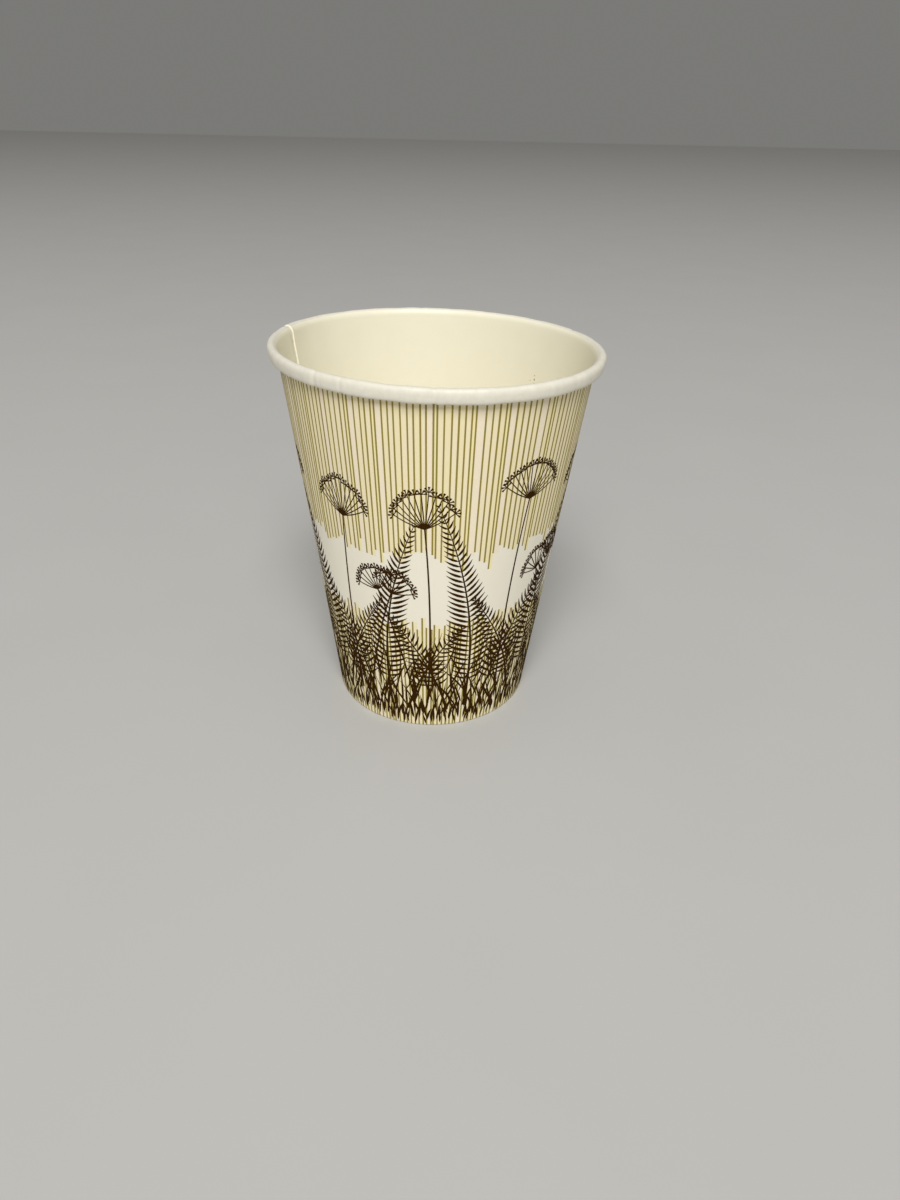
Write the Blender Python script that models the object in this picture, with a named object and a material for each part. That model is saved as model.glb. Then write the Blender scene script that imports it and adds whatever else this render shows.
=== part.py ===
"""A used paper cup for hot drinks, in two pieces of coated board, as a cup machine makes it.

The side wall is one sheet, wrapped into a taper and sealed along a lapped seam.  Its top edge is
curled outwards into the rim.  Its bottom edge is folded in and up, and the fold grips the skirt of
the second piece, the bottom, which sits above the table in its own recess.

Metres, +Z up.  The origin is the centre of the ring that the cup stands on.
"""

import math

import bmesh
import bpy
from mathutils import Vector

MM = 0.001

# The whole cup
CUP_HEIGHT = 109.0 * MM
RIM_DIAMETER = 90.0 * MM
BASE_DIAMETER = 60.0 * MM

# Board of each piece, and the space left between faces that are sealed to each other
WALL_BOARD = 0.35 * MM
BOTTOM_BOARD = 0.32 * MM
SEAL_SPACE = 0.15 * MM

# Rolled rim, across and along the wall
CURL_WIDTH = 2.9 * MM
CURL_HEIGHT = 4.6 * MM
CURL_TURN = math.radians(405.0)
CURL_TUCK_SPACE = 0.12 * MM

# Side seam: the sheet's far edge lies over its near edge, and its step is pressed shallow in the curl
SEAM_DIRECTION = math.radians(160.2)
SEAM_LAP = 7.0 * MM
SEAM_STEP_RUN = 1.3 * MM
SEAM_FADE_HEIGHT = 4.0 * MM
CUT_EDGE_RUN = 0.06 * MM
CURL_STEP_SHARE = 0.45

# Bottom and the hem that holds it
RECESS_DEPTH = 8.0 * MM
HEM_HEIGHT = 6.2 * MM
BOTTOM_BEND_RADIUS = 0.7 * MM

# The hand has pressed the rim a little oval
RIM_SQUEEZE = 2.2 * MM
SQUEEZE_DIRECTION = math.radians(-32.0)

# Fineness of the faceted surfaces
COLUMNS_ROUND = 76
CURL_STEPS = 14
FOLD_STEPS = 5
BEND_STEPS = 4

# Colours are linear red, green, blue
CREAM_BOARD = (0.800, 0.745, 0.590, 1.0)
PRINTED_FACE = (0.560, 0.480, 0.290, 1.0)


def board_material(name, colour, roughness):
    """A plain coated board."""
    material = bpy.data.materials.new(name)
    material.use_nodes = True
    shader = material.node_tree.nodes["Principled BSDF"]
    shader.inputs["Base Color"].default_value = colour
    shader.inputs["Roughness"].default_value = roughness
    shader.inputs["Metallic"].default_value = 0.0
    return material


def clear_scene():
    """Removes whatever the startup file holds."""
    for old in list(bpy.data.objects):
        bpy.data.objects.remove(old, do_unlink=True)


def squeezed(radius, angle, height):
    """The point at this radius, angle and height, once the rim has been pressed oval."""
    share = height / CUP_HEIGHT * RIM_SQUEEZE / (RIM_DIAMETER / 2)
    pressed = radius * (1 + share * math.cos(2 * (angle - SQUEEZE_DIRECTION)))
    return Vector((pressed * math.cos(angle), pressed * math.sin(angle), height))


class WallSection:
    """The side wall cut upright: the fold at its foot, the straight taper and the rolled rim.

    A point here is (radius, height).  The sheet's own line runs down the hem, round the fold, up the
    wall and round the curl, so that the printed face is always on its right.
    """

    def __init__(self):
        self.fold_radius = (WALL_BOARD + BOTTOM_BOARD) / 2 + SEAL_SPACE
        fold_outside = self.fold_radius + WALL_BOARD / 2
        half_foot_facet = math.pi / FOLD_STEPS / 2
        self.fold_centre = Vector(
            (BASE_DIAMETER / 2 - fold_outside, fold_outside * math.cos(half_foot_facet))
        )
        self.curl_centre = Vector((RIM_DIAMETER / 2 - CURL_WIDTH / 2, CUP_HEIGHT - CURL_HEIGHT / 2))
        self.curl_across = (CURL_WIDTH - WALL_BOARD) / 2
        self.curl_along = (CURL_HEIGHT - WALL_BOARD) / 2

        # The wall is the common tangent of the fold, on its outer side, and the curl, on its inner side
        between = self.curl_centre - self.fold_centre
        offset = self.fold_radius + self.curl_across
        self.lean = math.atan2(between.x, between.y) - math.asin(offset / between.length)
        self.up = Vector((math.sin(self.lean), math.cos(self.lean)))
        self.out = Vector((math.cos(self.lean), -math.sin(self.lean)))

    def hem(self):
        """The turned-up edge, from its end down to the fold."""
        foot = self.fold_centre - self.out * self.fold_radius
        rise = (HEM_HEIGHT - foot.y) / self.up.y
        return [foot + self.up * rise, foot + self.up * (rise / 2)]

    def fold(self):
        """Half a turn under the skirt, with a level facet at the foot for the cup to stand on."""
        turns = [math.pi * (1 + step / FOLD_STEPS) for step in range(FOLD_STEPS + 1)]
        turns[0] -= self.lean
        turns[-1] -= self.lean
        return [
            self.fold_centre + Vector((math.cos(turn), math.sin(turn))) * self.fold_radius
            for turn in turns
        ]

    def wall(self):
        """The straight taper, whose last point, where the lapped seam is thin, is clear of the curl."""
        low = self.fold_centre + self.out * self.fold_radius
        high = self.curl_centre - self.out * self.curl_across
        under_curl = high - self.up * (self.curl_along + WALL_BOARD)
        fade = self.up * (SEAM_FADE_HEIGHT / self.up.y)
        return [low + fade, (low + high) / 2, under_curl - fade, under_curl]

    def curl(self):
        """An outward roll whose end tucks in behind the wall, a little inside its own first turn."""
        tuck = WALL_BOARD + CURL_TUCK_SPACE
        points = []
        for step in range(CURL_STEPS + 1):
            turned = CURL_TURN * step / CURL_STEPS
            tucked = tuck * min(max(turned / math.pi - 1.0, 0.0), 1.0)
            across = (self.curl_across - tucked) * -math.cos(turned)
            along = (self.curl_along - tucked) * math.sin(turned)
            points.append(self.curl_centre + self.out * across + self.up * along)
        return points

    def line(self):
        """The sheet's mid-line, as (point, share of the lap's thickness, share of the seam's step)."""
        hem, fold, wall, curl = self.hem(), self.fold(), self.wall(), self.curl()
        stations = [(point, 1.0, 1.0) for point in hem]
        stations += [(point, 0.0, 0.0) for point in fold]
        stations += [(point, 1.0, 1.0) for point in wall[:-1]]
        stations += [(point, 0.0, CURL_STEP_SHARE) for point in wall[-1:] + curl]
        return stations

    def outline(self, lap, step):
        """The closed section of the sheet, printed face first.

        lap is how much of a second layer lies on the printed face, and step is how far the inside
        face is set back behind the seam's cut edge, both from 0 to 1.
        """
        stations = self.line()
        printed, inside = [], []
        for index, (point, lap_share, step_share) in enumerate(stations):
            before = (point - stations[max(index - 1, 0)][0]).normalized()
            after = (stations[min(index + 1, len(stations) - 1)][0] - point).normalized()
            along = (before + after).normalized()
            right = Vector((along.y, -along.x))
            outer = WALL_BOARD * (0.5 + lap * lap_share)
            inner = WALL_BOARD * (step * step_share - 0.5)
            printed.append(point + right * outer)
            inside.append(point + right * inner)
        return printed + inside[::-1]


def wall_columns():
    """(angle, distance along the board, lap, step) of each section round the wall.

    The seam keeps one width from foot to rim, so its sections are set by distance.  The others are
    set by angle, and share out what the widest reach of the seam, at the foot, leaves of the turn.
    """
    seam = [
        (-SEAM_LAP - CUT_EDGE_RUN, 0.0, 0.0),
        (-SEAM_LAP, 1.0, 0.0),
        (-SEAM_LAP / 2, 1.0, 0.0),
        (0.0, 1.0, 0.0),
        (CUT_EDGE_RUN, 1.0, 1.0),
        (CUT_EDGE_RUN + SEAM_STEP_RUN, 0.0, 0.0),
    ]
    columns = [(SEAM_DIRECTION, distance, lap, step) for distance, lap, step in seam]
    pitch = 2 * math.pi / COLUMNS_ROUND
    foot_radius = BASE_DIAMETER / 2 - 2 * WALL_BOARD - BOTTOM_BOARD - 2 * SEAL_SPACE
    first = (CUT_EDGE_RUN + SEAM_STEP_RUN) / foot_radius + pitch / 2
    last = 2 * math.pi - (SEAM_LAP + CUT_EDGE_RUN) / foot_radius - pitch / 2
    count = round((last - first) / pitch)
    for index in range(count + 1):
        turned = first + (last - first) * index / count
        columns.append((SEAM_DIRECTION + turned, 0.0, 0.0, 0.0))
    return columns


def make_side_wall(section, inside_board, printed_board):
    """Lofts the wall's section round the cup, with the lapped seam in it."""
    mesh = bmesh.new()
    rings = []
    for angle, distance, lap, step in wall_columns():
        ring = []
        for radius, height in section.outline(lap, step):
            ring.append(mesh.verts.new(squeezed(radius, angle + distance / radius, height)))
        rings.append(ring)
    points = len(rings[0])
    printed_points = points // 2
    for ring, following in zip(rings, rings[1:] + rings[:1]):
        for index in range(points):
            after = (index + 1) % points
            face = mesh.faces.new((ring[index], following[index], following[after], ring[after]))
            face.material_index = 1 if index < printed_points - 1 else 0
    return finished_object("side_wall", mesh, (inside_board, printed_board))


def make_bottom(section, board):
    """Spins the bottom: a flat disc whose edge is drawn down into the skirt that the fold grips."""
    half = BOTTOM_BOARD / 2
    bend = BOTTOM_BEND_RADIUS + half
    disc_height = RECESS_DEPTH + half
    skirt_foot = section.fold_centre
    skirt_rise = (disc_height - bend - skirt_foot.y - bend * math.sin(section.lean)) / section.up.y
    bend_centre = skirt_foot + section.up * skirt_rise - section.out * bend

    above = [skirt_foot + section.out * half]
    below = [skirt_foot - section.out * half]
    for step in range(BEND_STEPS + 1):
        turn = -section.lean + (math.pi / 2 + section.lean) * step / BEND_STEPS
        ray = Vector((math.cos(turn), math.sin(turn)))
        above.append(bend_centre + ray * (bend + half))
        below.append(bend_centre + ray * (bend - half))
    profile = above[::-1] + below

    mesh = bmesh.new()
    verts = [mesh.verts.new((radius, 0.0, height)) for radius, height in profile]
    edges = [mesh.edges.new(pair) for pair in zip(verts, verts[1:])]
    bmesh.ops.spin(
        mesh,
        geom=verts + edges,
        cent=(0.0, 0.0, 0.0),
        axis=(0.0, 0.0, 1.0),
        angle=2 * math.pi,
        steps=COLUMNS_ROUND,
        use_merge=True,
    )
    open_edges = [edge for edge in mesh.edges if edge.is_boundary]
    bmesh.ops.holes_fill(mesh, edges=open_edges, sides=COLUMNS_ROUND)
    for vert in mesh.verts:
        radius = math.hypot(vert.co.x, vert.co.y)
        vert.co = squeezed(radius, math.atan2(vert.co.y, vert.co.x), vert.co.z)
    return finished_object("bottom", mesh, (board,))


def finished_object(name, mesh, materials):
    """Turns the built mesh into a named object, smooth round its curves and sharp at cut edges."""
    bmesh.ops.recalc_face_normals(mesh, faces=mesh.faces[:])
    data = bpy.data.meshes.new(name)
    mesh.to_mesh(data)
    mesh.free()
    for material in materials:
        data.materials.append(material)
    data.shade_smooth()
    data.set_sharp_from_angle(angle=math.radians(40.0))
    made = bpy.data.objects.new(name, data)
    bpy.context.scene.collection.objects.link(made)
    return made


def build_cup():
    """Builds both pieces in place."""
    clear_scene()
    section = WallSection()
    inside_board = board_material("coated_cream_board", CREAM_BOARD, 0.45)
    printed_board = board_material("printed_board", PRINTED_FACE, 0.5)
    bottom_board = board_material("bottom_board", CREAM_BOARD, 0.45)
    make_side_wall(section, inside_board, printed_board)
    make_bottom(section, bottom_board)


build_cup()
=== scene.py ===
"""The looks of a used paper cup for hot drinks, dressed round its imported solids.

The side wall and the bottom are built again with a finer surface, from the sizes of the real cup.
The print is ink: thin closed shapes that lie on the board.  Metres, +Z up, the cup stands on z = 0.
"""

import logging
import math
import random
from collections.abc import Iterable, Sequence
from dataclasses import dataclass, field
from enum import Enum, IntEnum
from math import radians

import bpy
from bpy.types import Material, Node, NodeSocket, NodeTree, Object
from mathutils import Matrix, Vector


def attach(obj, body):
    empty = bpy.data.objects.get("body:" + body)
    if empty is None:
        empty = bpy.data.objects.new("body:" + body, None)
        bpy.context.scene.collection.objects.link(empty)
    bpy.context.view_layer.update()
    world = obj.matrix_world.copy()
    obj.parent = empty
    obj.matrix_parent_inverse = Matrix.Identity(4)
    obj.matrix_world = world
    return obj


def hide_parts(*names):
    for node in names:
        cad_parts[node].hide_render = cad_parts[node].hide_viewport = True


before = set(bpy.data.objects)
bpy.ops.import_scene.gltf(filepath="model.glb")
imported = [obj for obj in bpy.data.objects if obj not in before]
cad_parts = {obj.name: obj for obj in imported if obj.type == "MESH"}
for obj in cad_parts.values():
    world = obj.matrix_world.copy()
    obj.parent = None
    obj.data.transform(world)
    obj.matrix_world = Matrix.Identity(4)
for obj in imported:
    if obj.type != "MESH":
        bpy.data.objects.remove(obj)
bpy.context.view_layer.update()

MM = 0.001
TURN = 2 * math.pi
NodeInput = float | tuple | NodeSocket

log = logging.getLogger("paper_cup")


def held_share(value: float) -> float:
    """The value, held between 0 and 1."""
    return min(max(value, 0.0), 1.0)


def smooth_share(value: float, low: float, high: float) -> float:
    """How far value has come from low to high, from 0 to 1, easing in and out."""
    share = held_share((value - low) / (high - low))
    return share * share * (3.0 - 2.0 * share)


def signed_power(value: float, power: float) -> float:
    """A value's size raised to a power, with the value's sign."""
    return math.copysign(abs(value) ** power, value)


def turn_between(start: float, end: float) -> float:
    """The turn from one direction to another, at most half a turn either way."""
    return (end - start + math.pi) % TURN - math.pi


def linear_colour(code: str) -> tuple[float, float, float, float]:
    """Turns an sRGB hex colour into the opaque linear colour that shaders take.

    Args:
        code: the colour as "#RRGGBB".

    Returns:
        Linear red, green, blue and alpha.
    """
    channels = [int(code[place : place + 2], 16) / 255 for place in (1, 3, 5)]
    red, green, blue = (
        value / 12.92 if value <= 0.04045 else ((value + 0.055) / 1.055) ** 2.4 for value in channels
    )
    return red, green, blue, 1.0


def add_node(
    tree: NodeTree,
    kind: str,
    settings: dict[str, object] | None = None,
    inputs: dict[str | int, NodeInput] | None = None,
) -> Node:
    """Adds a node to a tree, with its settings, its values and its links.

    Args:
        tree: the node tree.
        kind: Blender's name of the node's type.
        settings: the node's own properties.
        inputs: for each input, by name or number, its value or the output that feeds it.

    Returns:
        The new node.
    """
    node = tree.nodes.new(kind)
    for name, value in (settings or {}).items():
        setattr(node, name, value)
    for name, value in (inputs or {}).items():
        if isinstance(value, NodeSocket):
            tree.links.new(value, node.inputs[name])
        else:
            node.inputs[name].default_value = value
    return node


def new_material(name: str, shader_values: dict[str, NodeInput]) -> Material:
    """Makes an empty procedural material with one shader.

    Args:
        name: the material's name.
        shader_values: values that are the same all over the surface.

    Returns:
        The material, whose tree holds the shader and its output.
    """
    material = bpy.data.materials.new(name)
    material.use_nodes = True
    tree = material.node_tree
    tree.nodes.clear()
    shader = add_node(tree, "ShaderNodeBsdfPrincipled", {"name": "Shader"}, shader_values)
    add_node(tree, "ShaderNodeOutputMaterial", None, {"Surface": shader.outputs["BSDF"]})
    return material


@dataclass(frozen=True)
class CoatedBoard:
    """Bleached paperboard with polyethylene melted on to it, as a cup's inside and rim are.

    The film gives a soft satin gloss that follows the board's slight cloudiness, and the fibres
    under it show as a faint grain.  A squash below 1 draws the fibres out into upright creases.
    """

    name: str
    colour: str
    cloud_colour: str
    cloud_size: float = 7.0 * MM
    fibre_size: float = 0.55 * MM
    fibre_depth: float = 0.010 * MM
    fibre_squash: float = 1.0
    fibre_tone: float = 0.35
    film_ior: float = 1.51
    smoothest: float = 0.34
    roughest: float = 0.46

    def material(self) -> Material:
        """Builds the node material.

        Returns:
            The material.
        """
        made = new_material(self.name, {"IOR": self.film_ior, "Metallic": 0.0})
        tree = made.node_tree
        place = add_node(tree, "ShaderNodeTexCoord").outputs["Object"]
        noise = {"Vector": place, "Scale": 1 / self.cloud_size, "Detail": 4.0, "Roughness": 0.6}
        cloud = add_node(tree, "ShaderNodeTexNoise", None, noise).outputs["Fac"]
        squash = {0: place, 1: (1.0, 1.0, self.fibre_squash)}
        drawn = add_node(tree, "ShaderNodeVectorMath", {"operation": "MULTIPLY"}, squash).outputs[0]
        noise = {"Vector": drawn, "Scale": 1 / self.fibre_size, "Detail": 3.0, "Roughness": 0.65}
        fibre = add_node(tree, "ShaderNodeTexNoise", None, noise).outputs["Fac"]
        centred = {0: fibre, 1: self.fibre_tone, 2: -self.fibre_tone / 2}
        grain = add_node(tree, "ShaderNodeMath", {"operation": "MULTIPLY_ADD"}, centred).outputs[0]
        both = {0: cloud, 1: grain}
        shade = add_node(tree, "ShaderNodeMath", {"operation": "ADD", "use_clamp": True}, both).outputs[0]
        tones = {"Factor": shade, 6: linear_colour(self.colour), 7: linear_colour(self.cloud_colour)}
        colour = add_node(tree, "ShaderNodeMix", {"data_type": "RGBA"}, tones).outputs[2]
        span = {"Value": cloud, "From Min": 0.3, "From Max": 0.7}
        span |= {"To Min": self.smoothest, "To Max": self.roughest}
        gloss = add_node(tree, "ShaderNodeMapRange", None, span).outputs[0]
        relief = {"Distance": self.fibre_depth, "Strength": 1.0, "Height": fibre}
        bump = add_node(tree, "ShaderNodeBump", None, relief).outputs[0]
        for socket, output in (("Base Color", colour), ("Roughness", gloss), ("Normal", bump)):
            tree.links.new(output, tree.nodes["Shader"].inputs[socket])
        return made


@dataclass(frozen=True)
class MottledFinish:
    """A finish in two close tones, mixed by a fine noise of a real size."""

    name: str
    colour: str
    second_colour: str
    mottle_size: float
    roughness: float
    detail: float = 2.0
    detail_share: float = 0.5
    gloss_level: float = 0.5
    ior: float = 1.5

    def material(self) -> Material:
        """Builds the node material.

        Returns:
            The material.
        """
        values = {"Roughness": self.roughness, "IOR": self.ior, "Specular IOR Level": self.gloss_level}
        made = new_material(self.name, values)
        tree = made.node_tree
        place = add_node(tree, "ShaderNodeTexCoord").outputs["Object"]
        noise = {"Vector": place, "Scale": 1 / self.mottle_size}
        noise |= {"Detail": self.detail, "Roughness": self.detail_share}
        mottle = add_node(tree, "ShaderNodeTexNoise", None, noise).outputs["Fac"]
        tones = {"Factor": mottle, 6: linear_colour(self.colour), 7: linear_colour(self.second_colour)}
        colour = add_node(tree, "ShaderNodeMix", {"data_type": "RGBA"}, tones).outputs[2]
        tree.links.new(colour, tree.nodes["Shader"].inputs["Base Color"])
        return made


@dataclass(frozen=True)
class FlexoInk(MottledFinish):
    """Water-based ink, laid by a soft printing plate on coated board.

    It dries half matt, and it lies a little unevenly, so that a solid area is faintly mottled.
    """

    mottle_size: float = 1.6 * MM
    roughness: float = 0.55
    detail: float = 3.0
    detail_share: float = 0.6
    gloss_level: float = 0.4
    ior: float = 1.48


# Inside: cream board under a polyethylene film, which makes the long soft highlights
INSIDE_BOARD = CoatedBoard("polyethylene_coated_board", "#F8F3DE", "#F3EDD4")

# Rolled rim: the curling tool has stretched, creased and scuffed the film, so it looks whiter,
# more matt and a little mottled
RIM_BOARD = CoatedBoard(
    "curled_coated_board", "#F3EFDF", "#DED8C6", cloud_size=1.6 * MM, fibre_size=0.9 * MM,
    fibre_depth=0.05 * MM, fibre_squash=0.3, smoothest=0.44, roughest=0.58,
)

# Outside where no ink lies: the same board with only a thin varnish, so it is duller than the inside
OUTSIDE_BOARD = CoatedBoard(
    "varnished_printing_board", "#F8F2E0", "#F4EDD9", smoothest=0.46, roughest=0.56, film_ior=1.48
)

# The board's bare core where a blade has cut it: whiter than its faces, fibrous and matt
CUT_EDGE = MottledFinish("cut_board_edge", "#FBF8EC", "#F1EBD8", 0.25 * MM, 0.85)

# White coffee that has dried in a small drop: half glossy, with darker solids here and there
DRIED_COFFEE = MottledFinish("dried_white_coffee", "#C0AF88", "#998355", 0.3 * MM, 0.5)

# Plain pale paper for the studio floor, as good as matt
STUDIO_PAPER = MottledFinish("studio_paper", "#C5C4C0", "#C1C0BC", 60.0 * MM, 0.95, gloss_level=0.1)

# Line inks: olive gold for the pinstripes, and the dark brown of roasted coffee for the leaves
PINSTRIPE_INK = FlexoInk("olive_gold_line_ink", "#8E7E33", "#99893F")
LEAF_INK = FlexoInk("coffee_brown_line_ink", "#2F1A00", "#3C2403", roughness=0.8, gloss_level=0.05)


class Tint(Enum):
    """The flat tints that lie between the pinstripes, each a thin wash of its own ink."""

    YELLOW = FlexoInk("yellow_tint_ink", "#FAEEB7", "#F7EAAF")
    STRAW = FlexoInk("straw_tint_ink", "#F8EBC0", "#F5E7B9")
    CREAM = FlexoInk("cream_tint_ink", "#F9ECC6", "#F6E8BF")
    CHALK = FlexoInk("chalk_tint_ink", "#F8ECC8", "#F5E8C1")
    BLUSH = FlexoInk("blush_tint_ink", "#FAEDD2", "#F7E9CB")


@dataclass(frozen=True)
class CupForm:
    """The real cup's sizes, in metres and radians."""

    height: float = 109.0 * MM
    rim_diameter: float = 90.0 * MM
    base_diameter: float = 60.0 * MM
    wall_board: float = 0.35 * MM
    bottom_board: float = 0.32 * MM
    seal_space: float = 0.15 * MM
    curl_width: float = 2.9 * MM
    curl_height: float = 4.6 * MM
    curl_turn: float = radians(405.0)
    curl_tuck_space: float = 0.12 * MM
    seam_direction: float = radians(160.2)
    seam_lap: float = 7.0 * MM
    seam_fade_height: float = 4.0 * MM
    recess_depth: float = 8.0 * MM
    hem_height: float = 6.2 * MM
    bottom_bend_radius: float = 0.7 * MM
    rim_squeeze: float = 2.2 * MM
    squeeze_direction: float = radians(-32.0)
    rim_side_clearance: float = 0.05 * MM
    rim_top_clearance: float = 0.13 * MM


@dataclass(frozen=True)
class Wave:
    """One wave round the cup, as stacking, the curling tool and a hand's grip leave in thin board."""

    count: int
    depth: float
    phase: float


@dataclass(frozen=True)
class RimDent:
    """A small crease across the rolled rim."""

    direction: float
    depth: float
    width: float


WAVES = (
    Wave(3, 0.16 * MM, 0.4),
    Wave(5, 0.09 * MM, 2.1),
    Wave(8, 0.05 * MM, 4.4),
    Wave(13, 0.02 * MM, 1.3),
)
RIM_RIPPLES = (
    Wave(17, 0.060 * MM, 0.9),
    Wave(29, 0.045 * MM, 3.7),
    Wave(47, 0.035 * MM, 2.2),
    Wave(71, 0.022 * MM, 5.1),
)
RIM_DENTS = (
    RimDent(radians(-132.2), 0.26 * MM, 0.45 * MM),
    RimDent(radians(-120.7), 0.20 * MM, 0.40 * MM),
    RimDent(radians(-104.0), 0.07 * MM, 3.50 * MM),
    RimDent(radians(-88.7), 0.32 * MM, 0.50 * MM),
    RimDent(radians(-84.0), 0.14 * MM, 0.90 * MM),
    RimDent(radians(-66.0), 0.08 * MM, 3.00 * MM),
    RimDent(radians(-41.0), 0.14 * MM, 0.60 * MM),
    RimDent(radians(24.0), 0.16 * MM, 0.50 * MM),
    RimDent(radians(97.0), 0.12 * MM, 0.50 * MM),
)


@dataclass
class CupSurface:
    """Where the board of the used cup lies.

    A section point is (radius, height).  The sheet's mid-line runs down the hem, round the fold, up
    the wall and round the curl, with the printed face always on its right.
    """

    form: CupForm
    fade_steps: int = 8
    outer_cut_run: float = 0.05 * MM
    inner_cut_run: float = 0.04 * MM
    lap_soft_end: float = 3.0 * MM
    set_back_fade: tuple[float, float] = (0.3 * MM, 2.6 * MM)
    bulge_start: float = 2.5 * MM
    bulge_full: float = 3.0 * MM
    fold_radius: float = field(init=False)
    fold_centre: Vector = field(init=False)
    curl_centre: Vector = field(init=False)
    curl_across: float = field(init=False)
    curl_along: float = field(init=False)
    lean: float = field(init=False)
    up: Vector = field(init=False)
    out: Vector = field(init=False)
    wall_foot: Vector = field(init=False)
    wall_top: Vector = field(init=False)

    def __post_init__(self) -> None:
        """Works out the section from the cup's sizes."""
        form = self.form
        self.fold_radius = (form.wall_board + form.bottom_board) / 2 + form.seal_space
        fold_outside = self.fold_radius + form.wall_board / 2
        self.fold_centre = Vector((form.base_diameter / 2 - fold_outside, fold_outside))
        self.curl_centre = Vector(
            (form.rim_diameter / 2 - form.curl_width / 2, form.height - form.curl_height / 2)
        )
        self.curl_across = (form.curl_width - form.wall_board) / 2 - form.rim_side_clearance
        self.curl_along = (form.curl_height - form.wall_board) / 2 - form.rim_top_clearance
        between = self.curl_centre - self.fold_centre
        offset = self.fold_radius + self.curl_across
        self.lean = math.atan2(between.x, between.y) - math.asin(offset / between.length)
        self.up = Vector((math.sin(self.lean), math.cos(self.lean)))
        self.out = Vector((math.cos(self.lean), -math.sin(self.lean)))
        self.wall_foot = self.fold_centre + self.out * self.fold_radius
        self.wall_top = self.curl_centre - self.out * self.curl_across

    @property
    def wall_length(self) -> float:
        """Length of the straight wall, from the fold to the curl."""
        return (self.wall_top - self.wall_foot).length

    @property
    def lap_top(self) -> float:
        """Distance up the wall at which the lap has sunk into the rolled rim."""
        return self.wall_length - self.curl_along - self.form.wall_board

    def seam_distance(self, angle: float, radius: float) -> float:
        """Metres along the board from the seam's inner cut edge, below 0 where the layers overlap."""
        return turn_between(self.form.seam_direction, angle) * radius

    def lap_rise(self, distance: float) -> float:
        """Share of the second layer that stands proud at this distance, with a sharp and a soft end."""
        step = held_share((distance + self.form.seam_lap + self.outer_cut_run) / self.outer_cut_run)
        return step if distance < 0.0 else 1.0 - smooth_share(distance, 0.0, self.lap_soft_end)

    def lap_share(self, rise: float) -> float:
        """How much of the lap's thickness shows at this distance up the wall, from 0 to 1."""
        fade = self.form.seam_fade_height
        return smooth_share(rise, 0.0, fade) * (1.0 - smooth_share(rise, self.lap_top - fade, self.lap_top))

    def set_back(self, distance: float) -> float:
        """How far the inside face is set back just past the inner cut edge, from 0 to 1."""
        return held_share(distance / self.inner_cut_run) * (1.0 - smooth_share(distance, *self.set_back_fade))

    def curl_bulge(self, distance: float) -> float:
        """How much the lap's two layers swell the rolled rim, from 0 over the lap to 1 at its end."""
        start = -self.form.seam_lap - self.bulge_start
        return smooth_share(distance, start, self.bulge_full - self.form.seam_lap) if distance <= 0.0 else 0.0

    def rim_dent(self, angle: float) -> float:
        """Depth of the creases and faint ripples in the rolled rim.

        Args:
            angle: direction round the cup.

        Returns:
            Metres of depth, never below 0.
        """
        depth = 0.0
        for ripple in RIM_RIPPLES:
            depth += ripple.depth * (0.5 + 0.5 * math.sin(ripple.count * angle + ripple.phase))
        for dent in RIM_DENTS:
            across = turn_between(dent.direction, angle) * self.form.rim_diameter / 2 / dent.width
            if abs(across) < 4.0:
                depth += dent.depth * math.exp(-across * across)
        return depth

    def place(self, radius: float, angle: float, height: float) -> Vector:
        """Puts a point of the round cup where the used cup has it.

        Args:
            radius: distance from the axis on the round cup.
            angle: direction round the cup.
            height: height over the table.

        Returns:
            The point, with the rim pressed oval and the wall a little wavy.
        """
        form = self.form
        share = height / form.height
        oval = share * form.rim_squeeze / (form.rim_diameter / 2)
        pressed = radius * (1 + oval * math.cos(2 * (angle - form.squeeze_direction)))
        free = math.sin(math.pi * held_share(share)) ** 1.5
        for wave in WAVES:
            pressed += free * wave.depth * math.sin(wave.count * angle + wave.phase)
        return Vector((pressed * math.cos(angle), pressed * math.sin(angle), height))

    def printed_section(self, rise: float, proud: float) -> Vector:
        """A section point on the printed face, or just off it.

        Args:
            rise: distance up the wall from its lower end; below 0 it runs on round the fold.
            proud: distance out from the face of a single layer.

        Returns:
            The point as (radius, height).
        """
        off = self.form.wall_board / 2 + proud
        if rise >= 0.0:
            return self.wall_foot + self.up * rise + self.out * off
        turned = rise / self.fold_radius - self.lean
        away = Vector((math.cos(turned), math.sin(turned)))
        return self.fold_centre + away * (self.fold_radius + off)

    def rises_between(self, low: float, high: float, pitch: float) -> list[float]:
        """Distances up the wall for a mesh's rows, close together where the lap fades.

        Args:
            low: the lowest row.
            high: the highest row.
            pitch: the greatest distance between rows.

        Returns:
            The rows' rises in order, both ends among them.
        """
        count = max(2, math.ceil((high - low) / pitch))
        rises = {low + (high - low) * index / count for index in range(count + 1)}
        fade = self.form.seam_fade_height
        for start in (0.0, self.lap_top - fade):
            marks = [start + fade * step / self.fade_steps for step in range(self.fade_steps + 1)]
            rises.update(mark for mark in marks if low < mark < high)
        return sorted(rises)

    def on_print(self, angle: float, rise: float, proud: float) -> Vector:
        """The point on the outside of the used cup where ink lies.

        Args:
            angle: direction round the cup.
            rise: distance up the wall from its lower end.
            proud: distance out from the printed face.

        Returns:
            The point in the cup's frame.
        """
        bare = self.printed_section(rise, 0.0)
        lap = self.lap_rise(self.seam_distance(angle, bare.x)) * self.lap_share(rise)
        point = self.printed_section(rise, proud + lap * self.form.wall_board)
        return self.place(point.x, angle, point.y)

    def on_inside(self, direction: float, rise: float, across: float, proud: float) -> Vector:
        """The point on the coated inside, so far across and off the board, away from the seam."""
        point = self.wall_foot + self.up * rise - self.out * (self.form.wall_board / 2 + proud)
        return self.place(point.x, direction + across / point.x, point.y)


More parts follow.
